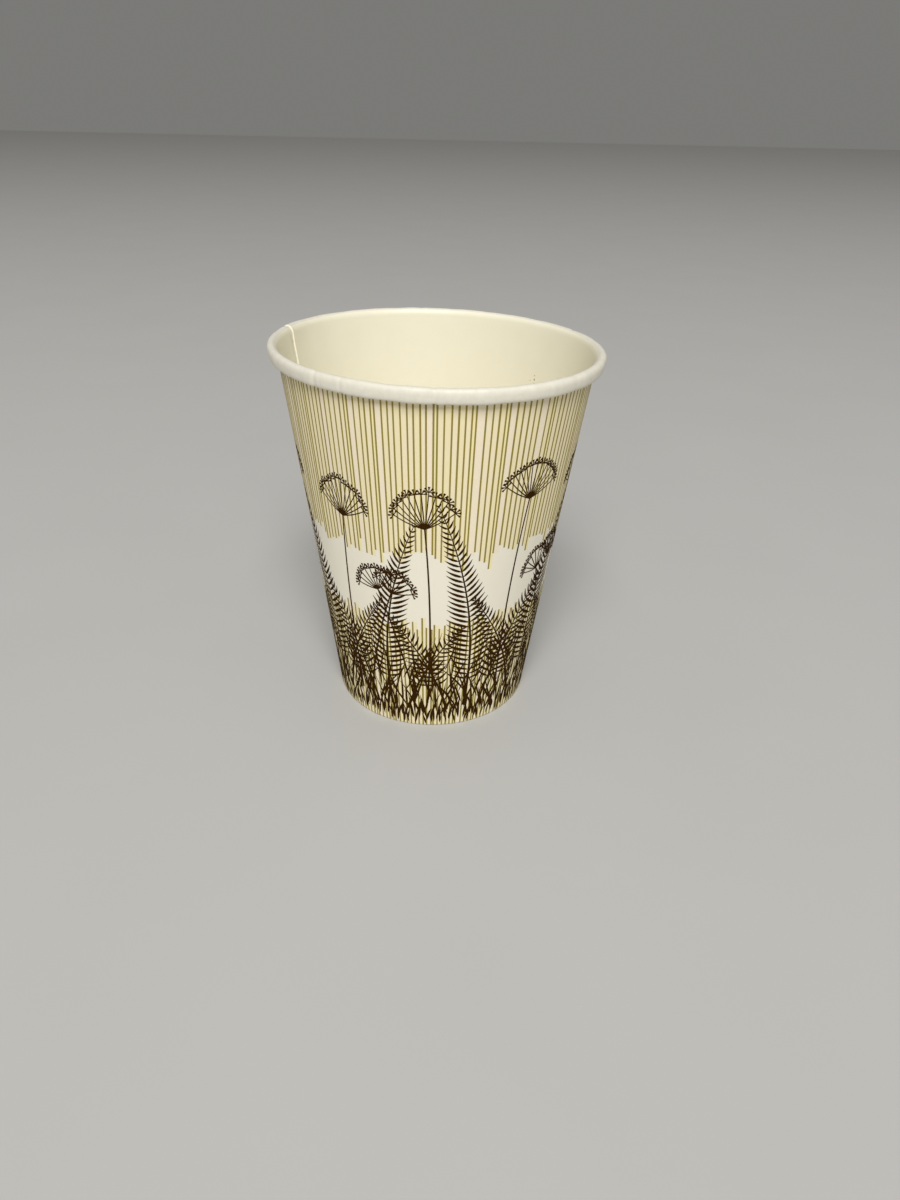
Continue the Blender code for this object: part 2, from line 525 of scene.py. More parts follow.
@dataclass
class MeshDraft:
    """Vertices and faces on their way to becoming one object."""

    points: list[Vector] = field(default_factory=list)
    faces: list[tuple[int, ...]] = field(default_factory=list)
    slots: list[int] = field(default_factory=list)

    def add_points(self, points: Iterable[Vector]) -> range:
        """Adds points.

        Args:
            points: where they lie.

        Returns:
            Their numbers.
        """
        first = len(self.points)
        self.points.extend(points)
        return range(first, len(self.points))

    def add_face(self, corners: tuple[int, ...], slot: int = 0) -> None:
        """Adds a face by its vertices' numbers, with its material slot."""
        self.faces.append(corners)
        self.slots.append(slot)

    def add_ring_loft(self, rings: Sequence[Sequence[int]], slot_of: Sequence[int]) -> None:
        """Joins sections round the cup, each to the next and the last to the first.

        Args:
            rings: vertex numbers of each section, in the same order along it.
            slot_of: material slot of the strip that starts at each point of a section; a closed
                section has one for its last point too.
        """
        for ring, following in zip(rings, [*rings[1:], rings[0]]):
            for low, slot in enumerate(slot_of):
                high = (low + 1) % len(ring)
                self.add_face((ring[low], following[low], following[high], ring[high]), slot)

    def finish(
        self, name: str, finishes: Sequence[CoatedBoard | MottledFinish], sharp: float = radians(60.0)
    ) -> Object:
        """Makes the object, smooth shaded but for its sharp edges.

        Args:
            name: the object's name.
            finishes: one for each material slot.
            sharp: angle over which an edge stays sharp.

        Returns:
            The object, linked to the scene.
        """
        mesh = bpy.data.meshes.new(name)
        mesh.from_pydata(self.points, [], self.faces)
        mesh.polygons.foreach_set("material_index", self.slots)
        for finish in finishes:
            mesh.materials.append(finish.material())
        mesh.validate()
        mesh.shade_smooth()
        mesh.set_sharp_from_angle(angle=sharp)
        made = bpy.data.objects.new(name, mesh)
        bpy.context.scene.collection.objects.link(made)
        return made


class WallPart(Enum):
    """The parts of the sheet that a station of its section can belong to."""

    HEM = "hem"
    FOLD = "fold"
    WALL = "wall"
    THROAT = "throat"
    CURL = "curl"


ROLLED = (WallPart.THROAT, WallPart.CURL)


class WallSlot(IntEnum):
    """The side wall's material slots."""

    INSIDE = 0
    PRINTED = 1
    CUT = 2
    RIM = 3


@dataclass(frozen=True)
class Station:
    """One point of the sheet's mid-line, the way its printed face looks, and where it lies.

    The rise is the distance up the wall or the hem, and turned is how far round the curl.
    """

    point: Vector
    right: Vector
    part: WallPart
    rise: float
    turned: float


@dataclass
class SideWall:
    """The side wall: one sheet with its hem, fold, taper, lapped seam and rolled rim.

    The curling die leaves the roll flattest on its outside and sharpest at its lower outer edge:
    curl_squareness is 2 for a round quarter and more for a squarer one, from the throat outwards.
    The seam marks are the sections beside the seam, in millimetres from its inner cut edge.
    """

    surface: CupSurface
    curl_squareness: tuple[float, float, float, float] = (2.0, 2.5, 3.6, 2.2)
    columns: int = 480
    hem_rows: int = 6
    fold_rows: int = 10
    row_pitch: float = 3.5 * MM
    curl_rows: int = 40
    dent_start: float = radians(30.0)
    dent_full: float = radians(100.0)
    roll_step: float = 0.6
    roll_bulge: float = 0.35
    knurl_count: int = 120
    knurl_depth: float = 0.05 * MM
    knurl_ease: tuple[float, float] = (0.4 * MM, 1.6 * MM)
    throat_turn: float = radians(55.0)
    outer_cut: float = -7.05
    inner_cut: float = 0.0
    seam_marks: tuple[float, ...] = (
        -9.5, -8.3, -7.6, -7.1, -7.05, -7.0, -6.6, -5.5, -4.0, -2.5, -1.0, -0.2,
        0.0, 0.04, 0.3, 0.7, 1.1, 1.6, 2.1, 2.6, 3.0, 3.6,
    )

    def stations(self) -> list[Station]:
        """The sheet's mid-line from the end of the hem to the end of the curl.

        Returns:
            The stations in order, each with the direction of the printed face.
        """
        surface = self.surface
        form = surface.form
        line: list[tuple[Vector, WallPart, float, float]] = []
        foot = surface.fold_centre - surface.out * surface.fold_radius
        hem_rise = (form.hem_height - foot.y) / surface.up.y
        for row in range(self.hem_rows):
            rise = hem_rise * (1.0 - row / self.hem_rows)
            line.append((foot + surface.up * rise, WallPart.HEM, rise, 0.0))
        for row in range(self.fold_rows):
            turn = math.pi * (1 + row / self.fold_rows) - surface.lean
            away = Vector((math.cos(turn), math.sin(turn)))
            line.append((surface.fold_centre + away * surface.fold_radius, WallPart.FOLD, 0.0, 0.0))
        for rise in surface.rises_between(0.0, surface.wall_length, self.row_pitch)[:-1]:
            line.append((surface.wall_foot + surface.up * rise, WallPart.WALL, rise, 0.0))
        tuck = form.wall_board + form.curl_tuck_space
        for row in range(self.curl_rows + 1):
            turned = form.curl_turn * row / self.curl_rows
            tucked = tuck * held_share(turned / math.pi - 1.0)
            squareness = self.curl_squareness[int(turned / (math.pi / 2)) % 4]
            across = -(surface.curl_across - tucked) * signed_power(math.cos(turned), 2.0 / squareness)
            along = (surface.curl_along - tucked) * signed_power(math.sin(turned), 2.0 / squareness)
            point = surface.curl_centre + surface.out * across + surface.up * along
            part = WallPart.THROAT if turned < self.throat_turn else WallPart.CURL
            line.append((point, part, surface.wall_length, turned))
        made = []
        for index, (point, part, rise, turned) in enumerate(line):
            before = (point - line[max(index - 1, 0)][0]).normalized()
            after = (line[min(index + 1, len(line) - 1)][0] - point).normalized()
            along = (before + after).normalized()
            made.append(Station(point, Vector((along.y, -along.x)), part, rise, turned))
        return made

    def directions(self) -> list[tuple[float, float]]:
        """Where the sections stand round the cup.

        Returns:
            Pairs (angle, distance along the board), with the seam's sections set by distance.
        """
        start = self.surface.form.seam_direction
        foot_radius = self.surface.fold_centre.x - self.surface.fold_radius
        pitch = TURN / self.columns
        first = self.seam_marks[-1] * MM / foot_radius + pitch
        last = TURN + self.seam_marks[0] * MM / foot_radius - pitch
        count = round((last - first) / pitch)
        seam = [(start, mark * MM) for mark in self.seam_marks]
        return seam + [(start + first + (last - first) * index / count, 0.0) for index in range(count + 1)]

    def face_offsets(self, station: Station, angle: float, distance: float) -> tuple[float, float]:
        """Where the two faces of the sheet lie off its mid-line.

        Args:
            station: the point of the section.
            angle: direction round the cup.
            distance: distance along the board from the inner cut edge.

        Returns:
            Offsets of the printed and the inside face along the station's right.
        """
        surface = self.surface
        board = surface.form.wall_board
        printed = inside = dent = 0.0
        if station.part is WallPart.WALL:
            printed = surface.lap_rise(distance) * surface.lap_share(station.rise)
        if station.part in (WallPart.WALL, WallPart.HEM):
            inside = surface.set_back(distance)
        if station.part in ROLLED:
            inside = self.roll_step * surface.set_back(distance)
            inside -= self.roll_bulge * surface.curl_bulge(distance)
            dent = surface.rim_dent(angle) * smooth_share(station.turned, self.dent_start, self.dent_full)
        return board * (0.5 + printed) + dent, board * (inside - 0.5) + dent

    def knurl(self, station: Station, angle: float) -> float:
        """Metres that the crimping wheel has pressed the hem outwards here."""
        held = smooth_share(station.rise, *self.knurl_ease) if station.part is WallPart.HEM else 0.0
        return self.knurl_depth * held * (0.5 + 0.5 * math.cos(self.knurl_count * angle))

    def dress(self) -> Object:
        """Lofts the sheet round the cup, with its two cut edges bare, and gives it its four finishes.

        Returns:
            The side wall.
        """
        draft = MeshDraft()
        stations = self.stations()
        rings = []
        for base_angle, distance in self.directions():
            printed, inside = [], []
            for station in stations:
                radius = station.point.x
                angle = base_angle + distance / radius
                away = self.surface.seam_distance(angle, radius)
                pressed = self.knurl(station, angle)
                for offset, side in zip(self.face_offsets(station, angle, away), (printed, inside)):
                    spot = station.point + station.right * offset
                    side.append(self.surface.place(spot.x + pressed, angle, spot.y))
            rings.append(draft.add_points(printed + inside[::-1]))
        inside_slots = [
            WallSlot.RIM if station.part is WallPart.CURL else WallSlot.INSIDE
            for station in reversed(stations[1:])
        ]
        count = len(stations)
        cut = [WallSlot.CUT]
        draft.add_ring_loft(rings, [WallSlot.PRINTED] * (count - 1) + cut + inside_slots + cut)
        for mark, first in ((self.outer_cut, 0), (self.inner_cut, count)):
            start = self.seam_marks.index(mark) * 2 * count + first
            draft.slots[start : start + count - 1] = cut * (count - 1)
        finishes = (INSIDE_BOARD, OUTSIDE_BOARD, CUT_EDGE, RIM_BOARD)
        return draft.finish("cup_side_wall", finishes, radians(50.0))


@dataclass
class Bottom:
    """The bottom: a disc drawn down at its edge into a skirt, which the hem grips."""

    surface: CupSurface
    columns: int = 240
    disc_rings: int = 14
    bend_steps: int = 8
    skirt_rows: int = 4
    dish: float = 0.18 * MM

    def profile(self) -> tuple[list[Vector], list[Vector]]:
        """The upper and the lower face in section, from near the axis to the skirt's end.

        Returns:
            Two lists of (radius, height) with as many points.
        """
        surface = self.surface
        form = surface.form
        half = form.bottom_board / 2
        bend = form.bottom_bend_radius + half
        disc_height = form.recess_depth + half
        skirt_foot = surface.fold_centre
        drop = disc_height - bend - skirt_foot.y - bend * math.sin(surface.lean)
        centre = skirt_foot + surface.up * (drop / surface.up.y) - surface.out * bend
        upper, lower = [], []
        for ring in range(1, self.disc_rings + 1):
            share = ring / self.disc_rings
            sag = self.dish * math.cos(math.pi / 2 * share) ** 2
            upper.append(Vector((centre.x * share, disc_height + half - sag)))
            lower.append(Vector((centre.x * share, disc_height - half - sag)))
        for step in range(1, self.bend_steps + 1):
            turn = math.pi / 2 - (math.pi / 2 + surface.lean) * step / self.bend_steps
            ray = Vector((math.cos(turn), math.sin(turn)))
            upper.append(centre + ray * (bend + half))
            lower.append(centre + ray * (bend - half))
        top = centre + surface.out * bend
        for row in range(1, self.skirt_rows + 1):
            point = top.lerp(skirt_foot, row / self.skirt_rows)
            upper.append(point + surface.out * half)
            lower.append(point - surface.out * half)
        return upper, lower

    def dress(self) -> Object:
        """Spins the section and gives it the coated board, bare at the skirt's cut edge.

        Returns:
            The bottom.
        """
        draft = MeshDraft()
        upper, lower = self.profile()
        section = lower + upper[::-1]
        rings = []
        for column in range(self.columns):
            angle = TURN * column / self.columns
            rings.append(draft.add_points(self.surface.place(spot.x, angle, spot.y) for spot in section))
        slots = [0] * (len(section) - 1)
        slots[len(lower) - 1] = 1
        draft.add_ring_loft(rings, slots)
        for end, order in ((0, -1), (-1, 1)):
            (centre,) = draft.add_points([self.surface.place(0.0, 0.0, section[end].y)])
            for ring, following in zip(rings, rings[1:] + rings[:1]):
                draft.add_face((centre, ring[end], following[end])[::order])
        return draft.finish("cup_bottom", (INSIDE_BOARD, CUT_EDGE), radians(50.0))


@dataclass(frozen=True)
class Speck:
    """One small dried drop: its direction round the cup, its height and its size."""

    direction: float
    height: float
    width: float
    length: float


SPECKS = (
    Speck(radians(39.7), 91.8 * MM, 0.58 * MM, 0.70 * MM),
    Speck(radians(39.5), 90.6 * MM, 0.50 * MM, 0.44 * MM),
    Speck(radians(39.8), 93.0 * MM, 0.34 * MM, 0.40 * MM),
    Speck(radians(42.1), 91.2 * MM, 0.32 * MM, 0.34 * MM),
)


@dataclass
class DriedSpecks:
    """The few specks that the drink has left on the inside, high on the far wall.

    The dome holds each ring's share of the drop's reach, and its height off the board.
    """

    surface: CupSurface
    sides: int = 14
    dome: tuple[tuple[float, float], ...] = (
        (0.0, 0.060 * MM), (0.7, 0.042 * MM), (1.0, 0.0), (0.9, -0.030 * MM)
    )

    def add_dome(self, draft: MeshDraft, speck: Speck) -> None:
        """Adds one speck as a low closed dome on the wall.

        Args:
            draft: the draft that holds the specks.
            speck: the drop's place and size.
        """
        surface = self.surface
        middle = (speck.height - surface.wall_foot.y) / surface.up.y
        rings = []
        for reach, proud in self.dome:
            points = []
            for side in range(self.sides if reach else 1):
                turn = TURN * side / self.sides
                rise = middle + reach * speck.length / 2 * math.sin(turn)
                across = reach * speck.width / 2 * math.cos(turn)
                points.append(surface.on_inside(speck.direction, rise, across, proud))
            rings.append(draft.add_points(points))
        tip, *rounds = rings
        for side in range(self.sides):
            after = (side + 1) % self.sides
            draft.add_face((tip[0], rounds[0][after], rounds[0][side]))
            for high, low in zip(rounds, rounds[1:]):
                draft.add_face((high[side], high[after], low[after], low[side]))
        draft.add_face(tuple(rounds[-1]))

    def dress(self) -> Object:
        """Sets all the specks on the wall.

        Returns:
            The specks.
        """
        draft = MeshDraft()
        for speck in SPECKS:
            self.add_dome(draft, speck)
        return draft.finish("dried_specks", [DRIED_COFFEE], radians(80.0))


@dataclass(frozen=True)
class SheetSpot:
    """A place on the printed sheet: the turn from its outer cut edge, and the rise up the wall."""

    turn: float
    rise: float


@dataclass
class Press:
    """Lays ink on the wall as thin closed bands that follow the board.

    Bands that cross lie on a few layers in turn, so that no two faces share one place.
    """

    surface: CupSurface
    proud: float
    layers: int = 5
    layer_step: float = 0.004 * MM
    sunk: float = 0.03 * MM
    edge_gap: float = 0.12 * MM
    edge_blend: float = radians(38.0)
    draft: MeshDraft = field(default_factory=MeshDraft)
    laid: int = 0

    def radius_at(self, rise: float) -> float:
        """Radius of the printed face at this distance up the wall."""
        return self.surface.printed_section(rise, 0.0).x

    def angle_of(self, spot: SheetSpot) -> float:
        """Direction round the cup of a place on the sheet.

        The sheet's cut edge keeps one distance from the inner edge, so near it the print's upright
        lines lean with it, and further off they run straight to the cone's tip.

        Args:
            spot: the place on the sheet.

        Returns:
            The angle.
        """
        form = self.surface.form
        middle = self.radius_at(self.surface.wall_length / 2)
        near = min(spot.turn, TURN - spot.turn)
        weight = 1.0 - smooth_share(near, 0.0, self.edge_blend)
        shift = form.seam_lap / middle - form.seam_lap / self.radius_at(spot.rise)
        return form.seam_direction - form.seam_lap / middle + spot.turn + weight * shift

    def offset_spot(self, origin: SheetSpot, across: float, up: float) -> SheetSpot:
        """The place that lies so far across and up from another, in true metres."""
        rise = origin.rise + up
        return SheetSpot(origin.turn + across / self.radius_at(rise), rise)

    def on_sheet(self, spot: SheetSpot) -> bool:
        """True if the place lies inside the sheet's two cut edges."""
        gap = self.edge_gap / self.radius_at(spot.rise)
        return gap < spot.turn < TURN - gap

    def grid(
        self, left: Sequence[SheetSpot], right: Sequence[SheetSpot], columns: int, proud: float
    ) -> list[range]:
        """Adds one face's points between two edges.

        Args:
            left: places along the left edge.
            right: places along the right edge.
            columns: strips across.
            proud: distance out from the printed face.

        Returns:
            The points' numbers, row by row.
        """
        rows = []
        for one, other in zip(left, right):
            points = []
            for column in range(columns + 1):
                share = column / columns
                rise = one.rise + (other.rise - one.rise) * share
                spot = SheetSpot(one.turn + (other.turn - one.turn) * share, rise)
                points.append(self.surface.on_print(self.angle_of(spot), rise, proud))
            rows.append(self.draft.add_points(points))
        return rows

    def lay(
        self, left: Sequence[SheetSpot], right: Sequence[SheetSpot], columns: int = 1, slot: int = 0
    ) -> None:
        """Lays one closed band between two edges with as many points.

        Args:
            left: places along its left edge.
            right: places along its right edge.
            columns: strips across it, more than one where it has to follow the round wall.
            slot: material slot.
        """
        top = self.grid(left, right, columns, self.proud + self.laid % self.layers * self.layer_step)
        under = self.grid(left, right, columns, -self.sunk)
        self.laid += 1
        last = len(top) - 1
        for row in range(last):
            for column in range(columns):
                corners = ((row, column), (row, column + 1), (row + 1, column + 1), (row + 1, column))
                self.draft.add_face(tuple(top[r][c] for r, c in corners), slot)
                self.draft.add_face(tuple(under[r][c] for r, c in corners[::-1]), slot)
            for column, order in ((0, 1), (columns, -1)):
                side = (top[row][column], top[row + 1][column], under[row + 1][column], under[row][column])
                self.draft.add_face(side[::order], slot)
        for row, order in ((0, -1), (last, 1)):
            for column in range(columns):
                end = (top[row][column], top[row][column + 1], under[row][column + 1], under[row][column])
                self.draft.add_face(end[::order], slot)


@dataclass
class Pinstripes:
    """The upright lines and the tints between them, above and below an unprinted band.

    Now and then a gap is narrow and yellow, and the others vary a little, as the printed ones do.
    """

    surface: CupSurface
    mean_pitch: float = 1.58 * MM
    pitch_height: float = 100.0 * MM
    thin_line: float = 0.40 * MM
    thick_line: float = 0.49 * MM
    yellow_share: tuple[float, float] = (0.56, 0.66)
    pale_share: tuple[float, float] = (0.85, 1.15)
    blush_share: float = 1.25
    yellow_reach: float = 1.6
    top_end: float = 105.4 * MM
    bare_top: float = 64.0 * MM
    bare_foot: float = 36.5 * MM
    ragged: float = 5.0 * MM
    foot_end: float = -0.42 * MM
    row_pitch: float = 6.0 * MM
    seed: int = 41

    def gaps(self) -> list[tuple[float, float, Tint]]:
        """Shares out the turn among the gaps between lines.

        Returns:
            For each gap its start and end as turns from the sheet's edge, and its tint.
        """
        draw = random.Random(self.seed)
        radius = Press(self.surface, 0.0).radius_at(self.pitch_height)
        count = round(TURN * radius / self.mean_pitch)
        kinds: list[tuple[float, Tint]] = []
        pale = 4 * (Tint.STRAW, Tint.CREAM) + 2 * (Tint.CHALK,) + (Tint.BLUSH,)
        previous = Tint.CREAM
        until_yellow = 3
        for _ in range(count):
            if until_yellow == 0:
                kinds.append((draw.uniform(*self.yellow_share), Tint.YELLOW))
                until_yellow = draw.choice((4, 5, 7, 9))
                continue
            tint = draw.choice([other for other in pale if other is not previous])
            wide = self.blush_share if tint is Tint.BLUSH else 1.0
            kinds.append((wide * draw.uniform(*self.pale_share), tint))
            previous = tint
            until_yellow -= 1
        whole = sum(width for width, _ in kinds)
        made = []
        start = 0.0
        for width, tint in kinds:
            end = start + width / whole * TURN
            made.append((start, end, tint))
            start = end
        return made

    def rows(self, low: float, high: float) -> list[float]:
        """Heights of the points along a line, close together where it rounds the foot."""
        rises = self.surface.rises_between(low, high, self.row_pitch)
        return sorted(rises + [low * 0.66, low * 0.33] if low < 0.0 else rises)

    def dress(self) -> list[Object]:
        """Prints the tints and then the lines.

        Returns:
            The tints' object and the lines' object.
        """
        draw = random.Random(self.seed + 1)
        washes = Press(self.surface, proud=0.015 * MM, layers=1)
        lines = Press(self.surface, proud=0.032 * MM)
        tints = list(Tint)
        gap = washes.edge_gap / washes.radius_at(0.0)
        for index, (start, end, tint) in enumerate(self.gaps()):
            longer = self.yellow_reach if tint is Tint.YELLOW else 1.0
            upper_end = self.bare_top - longer * self.ragged * draw.random()
            lower_end = self.bare_foot + self.ragged * draw.random()
            half = draw.uniform(self.thin_line, self.thick_line) / 2
            for low, high in ((upper_end, self.top_end), (self.foot_end, lower_end)):
                rises = self.rows(low, high)
                left = [SheetSpot(max(start, gap), rise) for rise in rises]
                right = [SheetSpot(min(end, TURN - gap), rise) for rise in rises]
                washes.lay(left, right, 3, tints.index(tint))
                if index == 0:
                    continue
                centre = [SheetSpot(start, rise) for rise in rises]
                left = [lines.offset_spot(spot, -half, 0.0) for spot in centre]
                right = [lines.offset_spot(spot, half, 0.0) for spot in centre]
                lines.lay(left, right)
        printed = washes.draft.finish("tint_print", [tint.value for tint in tints])
        return [printed, lines.draft.finish("pinstripe_print", [PINSTRIPE_INK])]


@dataclass(frozen=True)
class Blade:
    """The axis of a leaf or a stalk, in metres on the flat sheet."""

    across: float
    up: float
    heading: float
    length: float
    curl: float
    steps: int = 8

    def axis(self) -> list[tuple[float, float, float]]:
        """Points along the axis.

        Returns:
            For each point its distance across and up, and its heading from upright.
        """
        across, up = self.across, self.up
        made = []
        for step in range(self.steps + 1):
            heading = self.heading + self.curl * step / self.steps
            made.append((across, up, heading))
            across += self.length / self.steps * math.sin(heading)
            up += self.length / self.steps * math.cos(heading)
        return made


@dataclass(frozen=True)
class Growth:
    """Where a fern or a seed head grows in its repeat, and how tall it gets."""

    aside: float
    base: float
    height: float
    lean: float
    arch: float
    reach: float = 0.0
    rays: int = 0


@dataclass(frozen=True)
class ThicketRow:
    """One row of fine blades along the foot."""

    count: int
    base: float
    length: float
    width: float
    tilt: float


FRONDS = (
    Growth(0.00, 7.0 * MM, 68.0 * MM, radians(6.0), radians(-30.0)),
    Growth(0.44, 6.0 * MM, 45.0 * MM, radians(12.0), radians(26.0)),
    Growth(-0.46, 6.0 * MM, 37.0 * MM, radians(-14.0), radians(-28.0)),
)
SEED_HEADS = (
    Growth(0.00, 9.0 * MM, 64.0 * MM, radians(-3.0), radians(8.0), 10.5 * MM, 13),
    Growth(0.34, 9.0 * MM, 43.0 * MM, radians(9.0), radians(12.0), 7.0 * MM, 9),
)
THICKET_ROWS = (
    ThicketRow(160, 0.6 * MM, 6.0 * MM, 0.66 * MM, radians(10.0)),
    ThicketRow(140, 2.0 * MM, 8.0 * MM, 0.66 * MM, radians(14.0)),
    ThicketRow(140, 4.0 * MM, 12.0 * MM, 0.62 * MM, radians(24.0)),
    ThicketRow(150, 8.0 * MM, 14.0 * MM, 0.60 * MM, radians(30.0)),
    ThicketRow(130, 13.0 * MM, 15.0 * MM, 0.52 * MM, radians(34.0)),
    ThicketRow(80, 19.0 * MM, 15.0 * MM, 0.44 * MM, radians(32.0)),
)


@dataclass
class LeafPrint:
    """A plain hedgerow border in line work: ferns and round seed heads over thick grass.

    A pair of widths is a stroke's width at its start and its end.
    """

    surface: CupSurface
    repeats: int = 9
    finest_stroke: float = 0.05 * MM
    frond_widths: tuple[float, float] = (0.85 * MM, 0.18 * MM)
    leaflet_pitch: float = 1.8 * MM
    leaflet_reach: float = 9.0 * MM
    leaflet_share: float = 0.17
    leaflet_least: float = 0.7 * MM
    leaflet_width: float = 0.36 * MM
    leaflet_curl: float = radians(24.0)
    bare_steps: int = 6
    stem_widths: tuple[float, float] = (0.60 * MM, 0.40 * MM)
    ray_widths: tuple[float, float] = (0.34 * MM, 0.26 * MM)
    ray_spread: float = radians(70.0)
    ray_curl: float = radians(18.0)
    seed_count: int = 5
    seed_spread: float = radians(84.0)
    seed_length: float = 1.6 * MM
    seed_widths: tuple[float, float, float] = (0.16 * MM, 0.26 * MM, 0.62 * MM)
    lowest_root: float = 0.1 * MM
    blade_bend: float = 22.0
    seed: int = 7
    press: Press = field(init=False)
    draw: random.Random = field(init=False)

    def __post_init__(self) -> None:
        """Sets up the ink and the seeded small differences between strokes."""
        self.press = Press(self.surface, proud=0.052 * MM)
        self.draw = random.Random(self.seed)

    def stroke(
        self, origin: SheetSpot, path: Sequence[tuple[float, float, float]], widths: Sequence[float]
    ) -> None:
        """Draws a stroke of changing width, and lifts the pen at the sheet's cut edges.

        Args:
            origin: the motif's own zero on the sheet.
            path: points as distance across, distance up, and heading.
            widths: the stroke's width at each point.
        """
        runs: list[list[tuple[SheetSpot, ...]]] = [[]]
        for (across, up, heading), width in zip(path, widths):
            half = max(width, self.finest_stroke) / 2
            pair = tuple(
                self.press.offset_spot(origin, across + math.cos(heading) * off, up - math.sin(heading) * off)
                for off in (-half, half)
            )
            if all(self.press.on_sheet(spot) for spot in pair):
                runs[-1].append(pair)
            else:
                runs.append([])
        for run in runs:
            if len(run) > 1:
                self.press.lay(*zip(*run))

    def taper(self, count: int, start: float, end: float) -> list[float]:
        """Widths that change evenly from start to end over count points."""
        return [start + (end - start) * index / (count - 1) for index in range(count)]

    def lens(self, count: int, width: float) -> list[float]:
        """Widths of a small solid leaf that is pointed at both ends, at count points."""
        return [width * math.sin(math.pi * (index / (count - 1)) ** 0.7) for index in range(count)]

    def fern(self, origin: SheetSpot, height: float, lean: float, arch: float) -> None:
        """Draws an arching fern frond, its leaflets set almost square to the stalk.

        Args:
            origin: where it grows from.
            height: the stalk's length.
            lean: the heading that the stalk starts with.
            arch: how much the heading has changed at its tip.
        """
        path = Blade(0.0, 0.0, lean, height, arch, round(height / self.leaflet_pitch)).axis()
        self.stroke(origin, path, self.taper(len(path), *self.frond_widths))
        bare = self.bare_steps
        longest = min(self.leaflet_reach, self.leaflet_share * height)
        for index in range(bare, len(path)):
            across, up, heading = path[index]
            share = (index - bare) / (len(path) - bare)
            reach = longest * (1.0 - share) ** 0.75 * min(1.0, 0.5 + 3.0 * share) + self.leaflet_least
            spread = radians(76.0 - 28.0 * share)
            for side in (-1, 1):
                length = reach * self.draw.uniform(0.9, 1.08)
                blade = Blade(across, up, heading + side * spread, length, -side * self.leaflet_curl, 5)
                self.stroke(origin, blade.axis(), self.lens(6, self.leaflet_width + 0.075 * length))

    def umbel(self, origin: SheetSpot, stalk: Blade, reach: float, rays: int) -> None:
        """Draws a stalk that ends in a round head of rays, each with a smaller head of seeds.

        Args:
            origin: the motif's own zero on the sheet.
            stalk: the stalk's axis.
            reach: length of a ray.
            rays: how many rays there are.
        """
        path = stalk.axis()
        self.stroke(origin, path, self.taper(len(path), *self.stem_widths))
        across, up, heading = path[-1]
        for ray in range(rays):
            side = 2.0 * ray / (rays - 1) - 1.0
            length = reach * (1.0 - 0.14 * side * side) * self.draw.uniform(0.94, 1.05)
            turn = heading + side * self.ray_spread
            line = Blade(across, up, turn, length, -side * self.ray_curl, 5).axis()
            self.stroke(origin, line, self.taper(len(line), *self.ray_widths))
            tip_across, tip_up, tip_heading = line[-1]
            for index in range(self.seed_count):
                turn = tip_heading + self.seed_spread * (2.0 * index / (self.seed_count - 1) - 1.0)
                small = Blade(tip_across, tip_up, turn, self.seed_length, 0.0, 2)
                self.stroke(origin, small.axis(), self.seed_widths)

    def thicket(self) -> None:
        """Draws the thick growth along the foot: many fine blades that lean across each other."""
        for row in THICKET_ROWS:
            for index in range(row.count):
                turn = TURN * (index + self.draw.uniform(0.1, 0.9)) / row.count
                root = max(row.base + self.draw.uniform(-1.5, 3.0) * MM, self.lowest_root)
                heading = self.draw.uniform(-row.tilt, row.tilt)
                reach = row.length * self.draw.uniform(0.6, 1.3)
                bend = radians(self.draw.uniform(-self.blade_bend, self.blade_bend))
                path = Blade(0.0, 0.0, heading, reach, bend, 6).axis()
                widths = self.lens(len(path), row.width * self.draw.uniform(0.8, 1.2))
                self.stroke(SheetSpot(turn, root), path, widths)

    def dress(self) -> Object:
        """Prints the whole border.

        Returns:
            The leaf print.
        """
        half_turn = TURN * 0.5 / self.repeats
        for index in range(self.repeats):
            turn = TURN * (index + 0.5) / self.repeats
            side = 1 if index % 2 else -1
            grown = self.draw.uniform(0.92, 1.08)
            for frond in FRONDS:
                spot = SheetSpot(turn + side * frond.aside * half_turn, frond.base)
                self.fern(spot, grown * frond.height, side * frond.lean, side * frond.arch)
            for head in SEED_HEADS:
                spot = SheetSpot(turn + half_turn + side * head.aside * half_turn, head.base)
                stalk = Blade(0.0, 0.0, side * head.lean, grown * head.height, side * head.arch, 14)
                self.umbel(spot, stalk, head.reach, head.rays)
        self.thicket()
        return self.press.draft.finish("leaf_print", [LEAF_INK])


